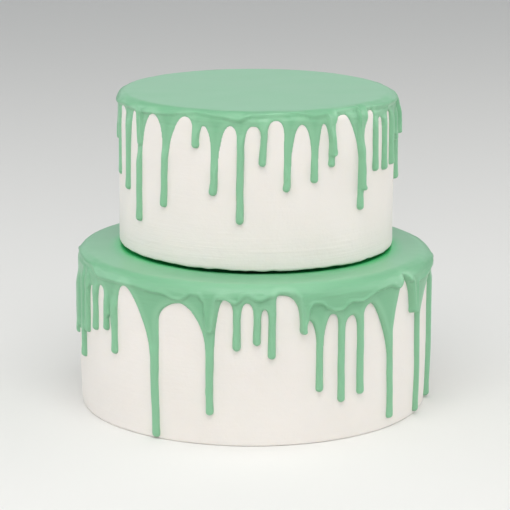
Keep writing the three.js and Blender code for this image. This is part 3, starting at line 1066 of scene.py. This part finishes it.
def buttercream():
    m = new_material("smoothed_buttercream")
    place = add_node(m, "ShaderNodeTexCoord").outputs["Object"]
    level = stretched(m, place, (14, 14, 420))
    lines = soft_noise(m, level, scale=1.0, detail=4.0, roughness=0.6)
    height = add_node(m, "ShaderNodeSeparateXYZ", {"Vector": place}).outputs["Z"]
    above_foot = ramp(m, height, LIGHTLY, 1.0, *FOOT_HEIGHTS)
    below_middle = ramp(m, height, 1.0, LIGHTLY, *MIDDLE_HEIGHTS)
    pressed = scaled(m, lines, scaled(m, above_foot, below_middle))
    dents = soft_noise(m, place, scale=110.0, detail=4.0, roughness=0.6)
    pits = soft_noise(m, place, scale=520.0, detail=2.0, roughness=0.6)
    tone = soft_noise(m, place, scale=16.0, detail=3.0)
    iced = mix_colour(m, tone, linear("#e6e1db"), linear("#efeae5"))
    # Painted shade: the underside of the upper round is dark green, darkest in front, for the shadow in
    # the slot.
    painted_slot_shade = mix_colour(m, marked(m, "sideways"), linear("#04301a"), linear("#14a457"))
    colour = mix_colour(m, marked(m, "painted_underside_shade"), iced, painted_slot_shade)
    normal = bumps(m, [(pressed, 0.9, 0.4), (pits, 0.35, 0.2), (dents, 0.6, 0.5)])
    skin = add_node(m, "ShaderNodeBsdfPrincipled", {"Base Color": colour, "Normal": normal},
                    Roughness=0.68, IOR=1.45, Subsurface_Weight=0.12, Subsurface_Scale=1.5 * MM)
    skin.inputs["Subsurface Radius"].default_value = (1.0, 0.75, 0.5)
    add_node(m, "ShaderNodeOutputMaterial", {"Surface": skin.outputs["BSDF"]})
    return m


# %% [markdown]
# ### Set poured glaze
# The glaze is white chocolate and cream, coloured green, poured warm and left to set. It dries
# satin rather than wet: a broad soft sheen, strongest where the top is seen at a low angle. A
# little light enters it, so its thinnest edges stay soft. Its colour hardly varies, but it is paler
# in the runs and along its edge, partly because the glaze is thinnest there over the white icing and
# partly as a painted sheen that brightens them. Round the foot of the upper round it is a saturated
# green, painted shade for the shadow there. The ripples at the rim act through bump alone.

# %% The glaze material
def poured_glaze():
    m = new_material("set_poured_glaze")
    place = add_node(m, "ShaderNodeTexCoord").outputs["Object"]
    tone = soft_noise(m, place, scale=22.0, detail=3.0)
    deep = mix_colour(m, tone, linear("#7ab48c"), linear("#81bb94"))
    # Paler near the edge and in the runs: partly the thinnest glaze, partly a painted sheen.
    paler = mix_colour(m, marked(m, "thin_and_sheen"), deep, linear("#87be98"))
    # Painted shade: saturated green round the foot of the upper round.
    colour = mix_colour(m, marked(m, "painted_foot_shade"), paler, linear("#26c56c"))
    ripple = soft_noise(m, place, scale=60.0, detail=2.0)
    crept = soft_noise(m, stretched(m, place, (45, 45, 300)), scale=1.0, detail=2.0)
    ripples = scaled(m, ramp(m, crept, -0.5, 0.5), marked(m, "rolled"))
    normal = bumps(m, [(ripple, 0.25, 0.4), (ripples, 0.8, 0.9)])
    looks = {"Base Color": colour, "Roughness": ramp(m, tone, 0.27, 0.33), "Normal": normal}
    skin = add_node(m, "ShaderNodeBsdfPrincipled", looks, IOR=1.47,
                    Subsurface_Weight=0.15, Subsurface_Scale=1.2 * MM)
    skin.inputs["Subsurface Radius"].default_value = (0.6, 1.0, 0.7)
    add_node(m, "ShaderNodeOutputMaterial", {"Surface": skin.outputs["BSDF"]})
    return m


icing_finish = buttercream()
glaze_finish = poured_glaze()

# %% Dress the pieces and hand them to the frame
DRESSED = [(lower_icing, "lower_cake", icing_finish, "icing"),
           (upper_icing, "upper_cake", icing_finish, "icing"),
           (lower_glaze, "lower_glaze", glaze_finish, "glaze"),
           (upper_glaze, "upper_glaze", glaze_finish, "glaze")]
for piece, node, finish, slot in DRESSED:
    piece.data.materials.clear()
    piece.data.materials.append(finish)
    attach(piece, "root")
    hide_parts(node)
print("dressed:", [piece.name for piece, *_ in DRESSED])

# %% [markdown]
# ## Floor, light and camera
# The cake was photographed from a little above, from far off with a long lens, in soft light. The
# floor is plain and pale. A wide light high in front does most. A strip overhead draws the bright
# line along the rims, and a low light behind the camera reaches in under the upper round. Two
# windows to the left and right of the camera even out the front, and larger ones at the sides light
# the edges. A faint panel behind shows in the satin tops, and the pale surroundings fill the rest.

# %% The floor
FLOOR_SIZE = 14

start_clean()
bpy.ops.mesh.primitive_plane_add(size=FLOOR_SIZE, location=(0, 0, 0))
floor = bpy.context.object
floor.name = "floor"
floor_paint = new_material("pale_floor")
paint = add_node(floor_paint, "ShaderNodeBsdfPrincipled", Base_Color=linear("#e4e3e0"), Roughness=0.9)
add_node(floor_paint, "ShaderNodeOutputMaterial", {"Surface": paint.outputs["BSDF"]})
floor.data.materials.append(floor_paint)

# %% Lights
WARM = (1.0, 0.95, 0.92)
NEUTRAL = (1.0, 1.0, 0.99)
COOL = (0.92, 0.97, 1.0)
AIM = Vector((0, 0, 0.12))
ROOM_TINT = "#f2f6fb"
ROOM_STRENGTH = 0.22
LIGHTS = [("overhead", (0, 0.2, 2.4), (1.8, 0.5), 8, NEUTRAL),
          ("front_top", (0, -1.2, 2.17), (2.2, 1.4), 34.5, NEUTRAL),
          ("front_low", (0, -2.9, 1.0), (1.6, 0.8), 11, NEUTRAL),
          ("left_window", (-1.98, -1.66, 1.44), (1.8, 1.6), 12.6, WARM),
          ("right_window", (1.98, -1.66, 1.44), (1.8, 1.6), 8.6, NEUTRAL),
          ("left_side", (-2.4, 0.42, 1.0), (2.2, 1.7), 18.5, COOL),
          ("right_side", (2.4, 0.42, 1.0), (2.2, 1.7), 22.5, NEUTRAL),
          ("back_panel", (0, 3.0, 0.95), (3.6, 1.1), 7.2, COOL)]


def soft_light(name, place, size, power, tint):
    data = bpy.data.lights.new(name, "AREA")
    data.shape = "RECTANGLE"
    data.size, data.size_y = size
    data.energy = power
    data.color = tint
    lamp = bpy.data.objects.new(name, data)
    bpy.context.scene.collection.objects.link(lamp)
    lamp.location = place
    lamp.rotation_euler = (AIM - Vector(place)).to_track_quat("-Z", "Y").to_euler()


for light in LIGHTS:
    soft_light(*light)
print("lights:", len(LIGHTS))

world = bpy.data.worlds.new("pale_room")
bpy.context.scene.world = world
world.use_nodes = True
world.node_tree.nodes["Background"].inputs["Color"].default_value = linear(ROOM_TINT)
world.node_tree.nodes["Background"].inputs["Strength"].default_value = ROOM_STRENGTH

# %% The camera
CAMERA_AT = (1.58, -1738.2, 514.2)
CAMERA_DOWN = 13.22
LENS = 172.0
SENSOR = 36

camera_data = bpy.data.cameras.new("camera")
camera_data.lens = LENS
camera_data.sensor_width = SENSOR
camera = bpy.data.objects.new("camera", camera_data)
bpy.context.scene.collection.objects.link(camera)
camera.location = Vector(CAMERA_AT) * MM
camera.rotation_euler = (math.radians(90 - CAMERA_DOWN), 0, 0)
bpy.context.scene.camera = camera
bpy.context.scene.view_settings.view_transform = "Standard"
print("camera %.0f mm lens, %.2f m from the cake" % (camera_data.lens, camera.location.length))
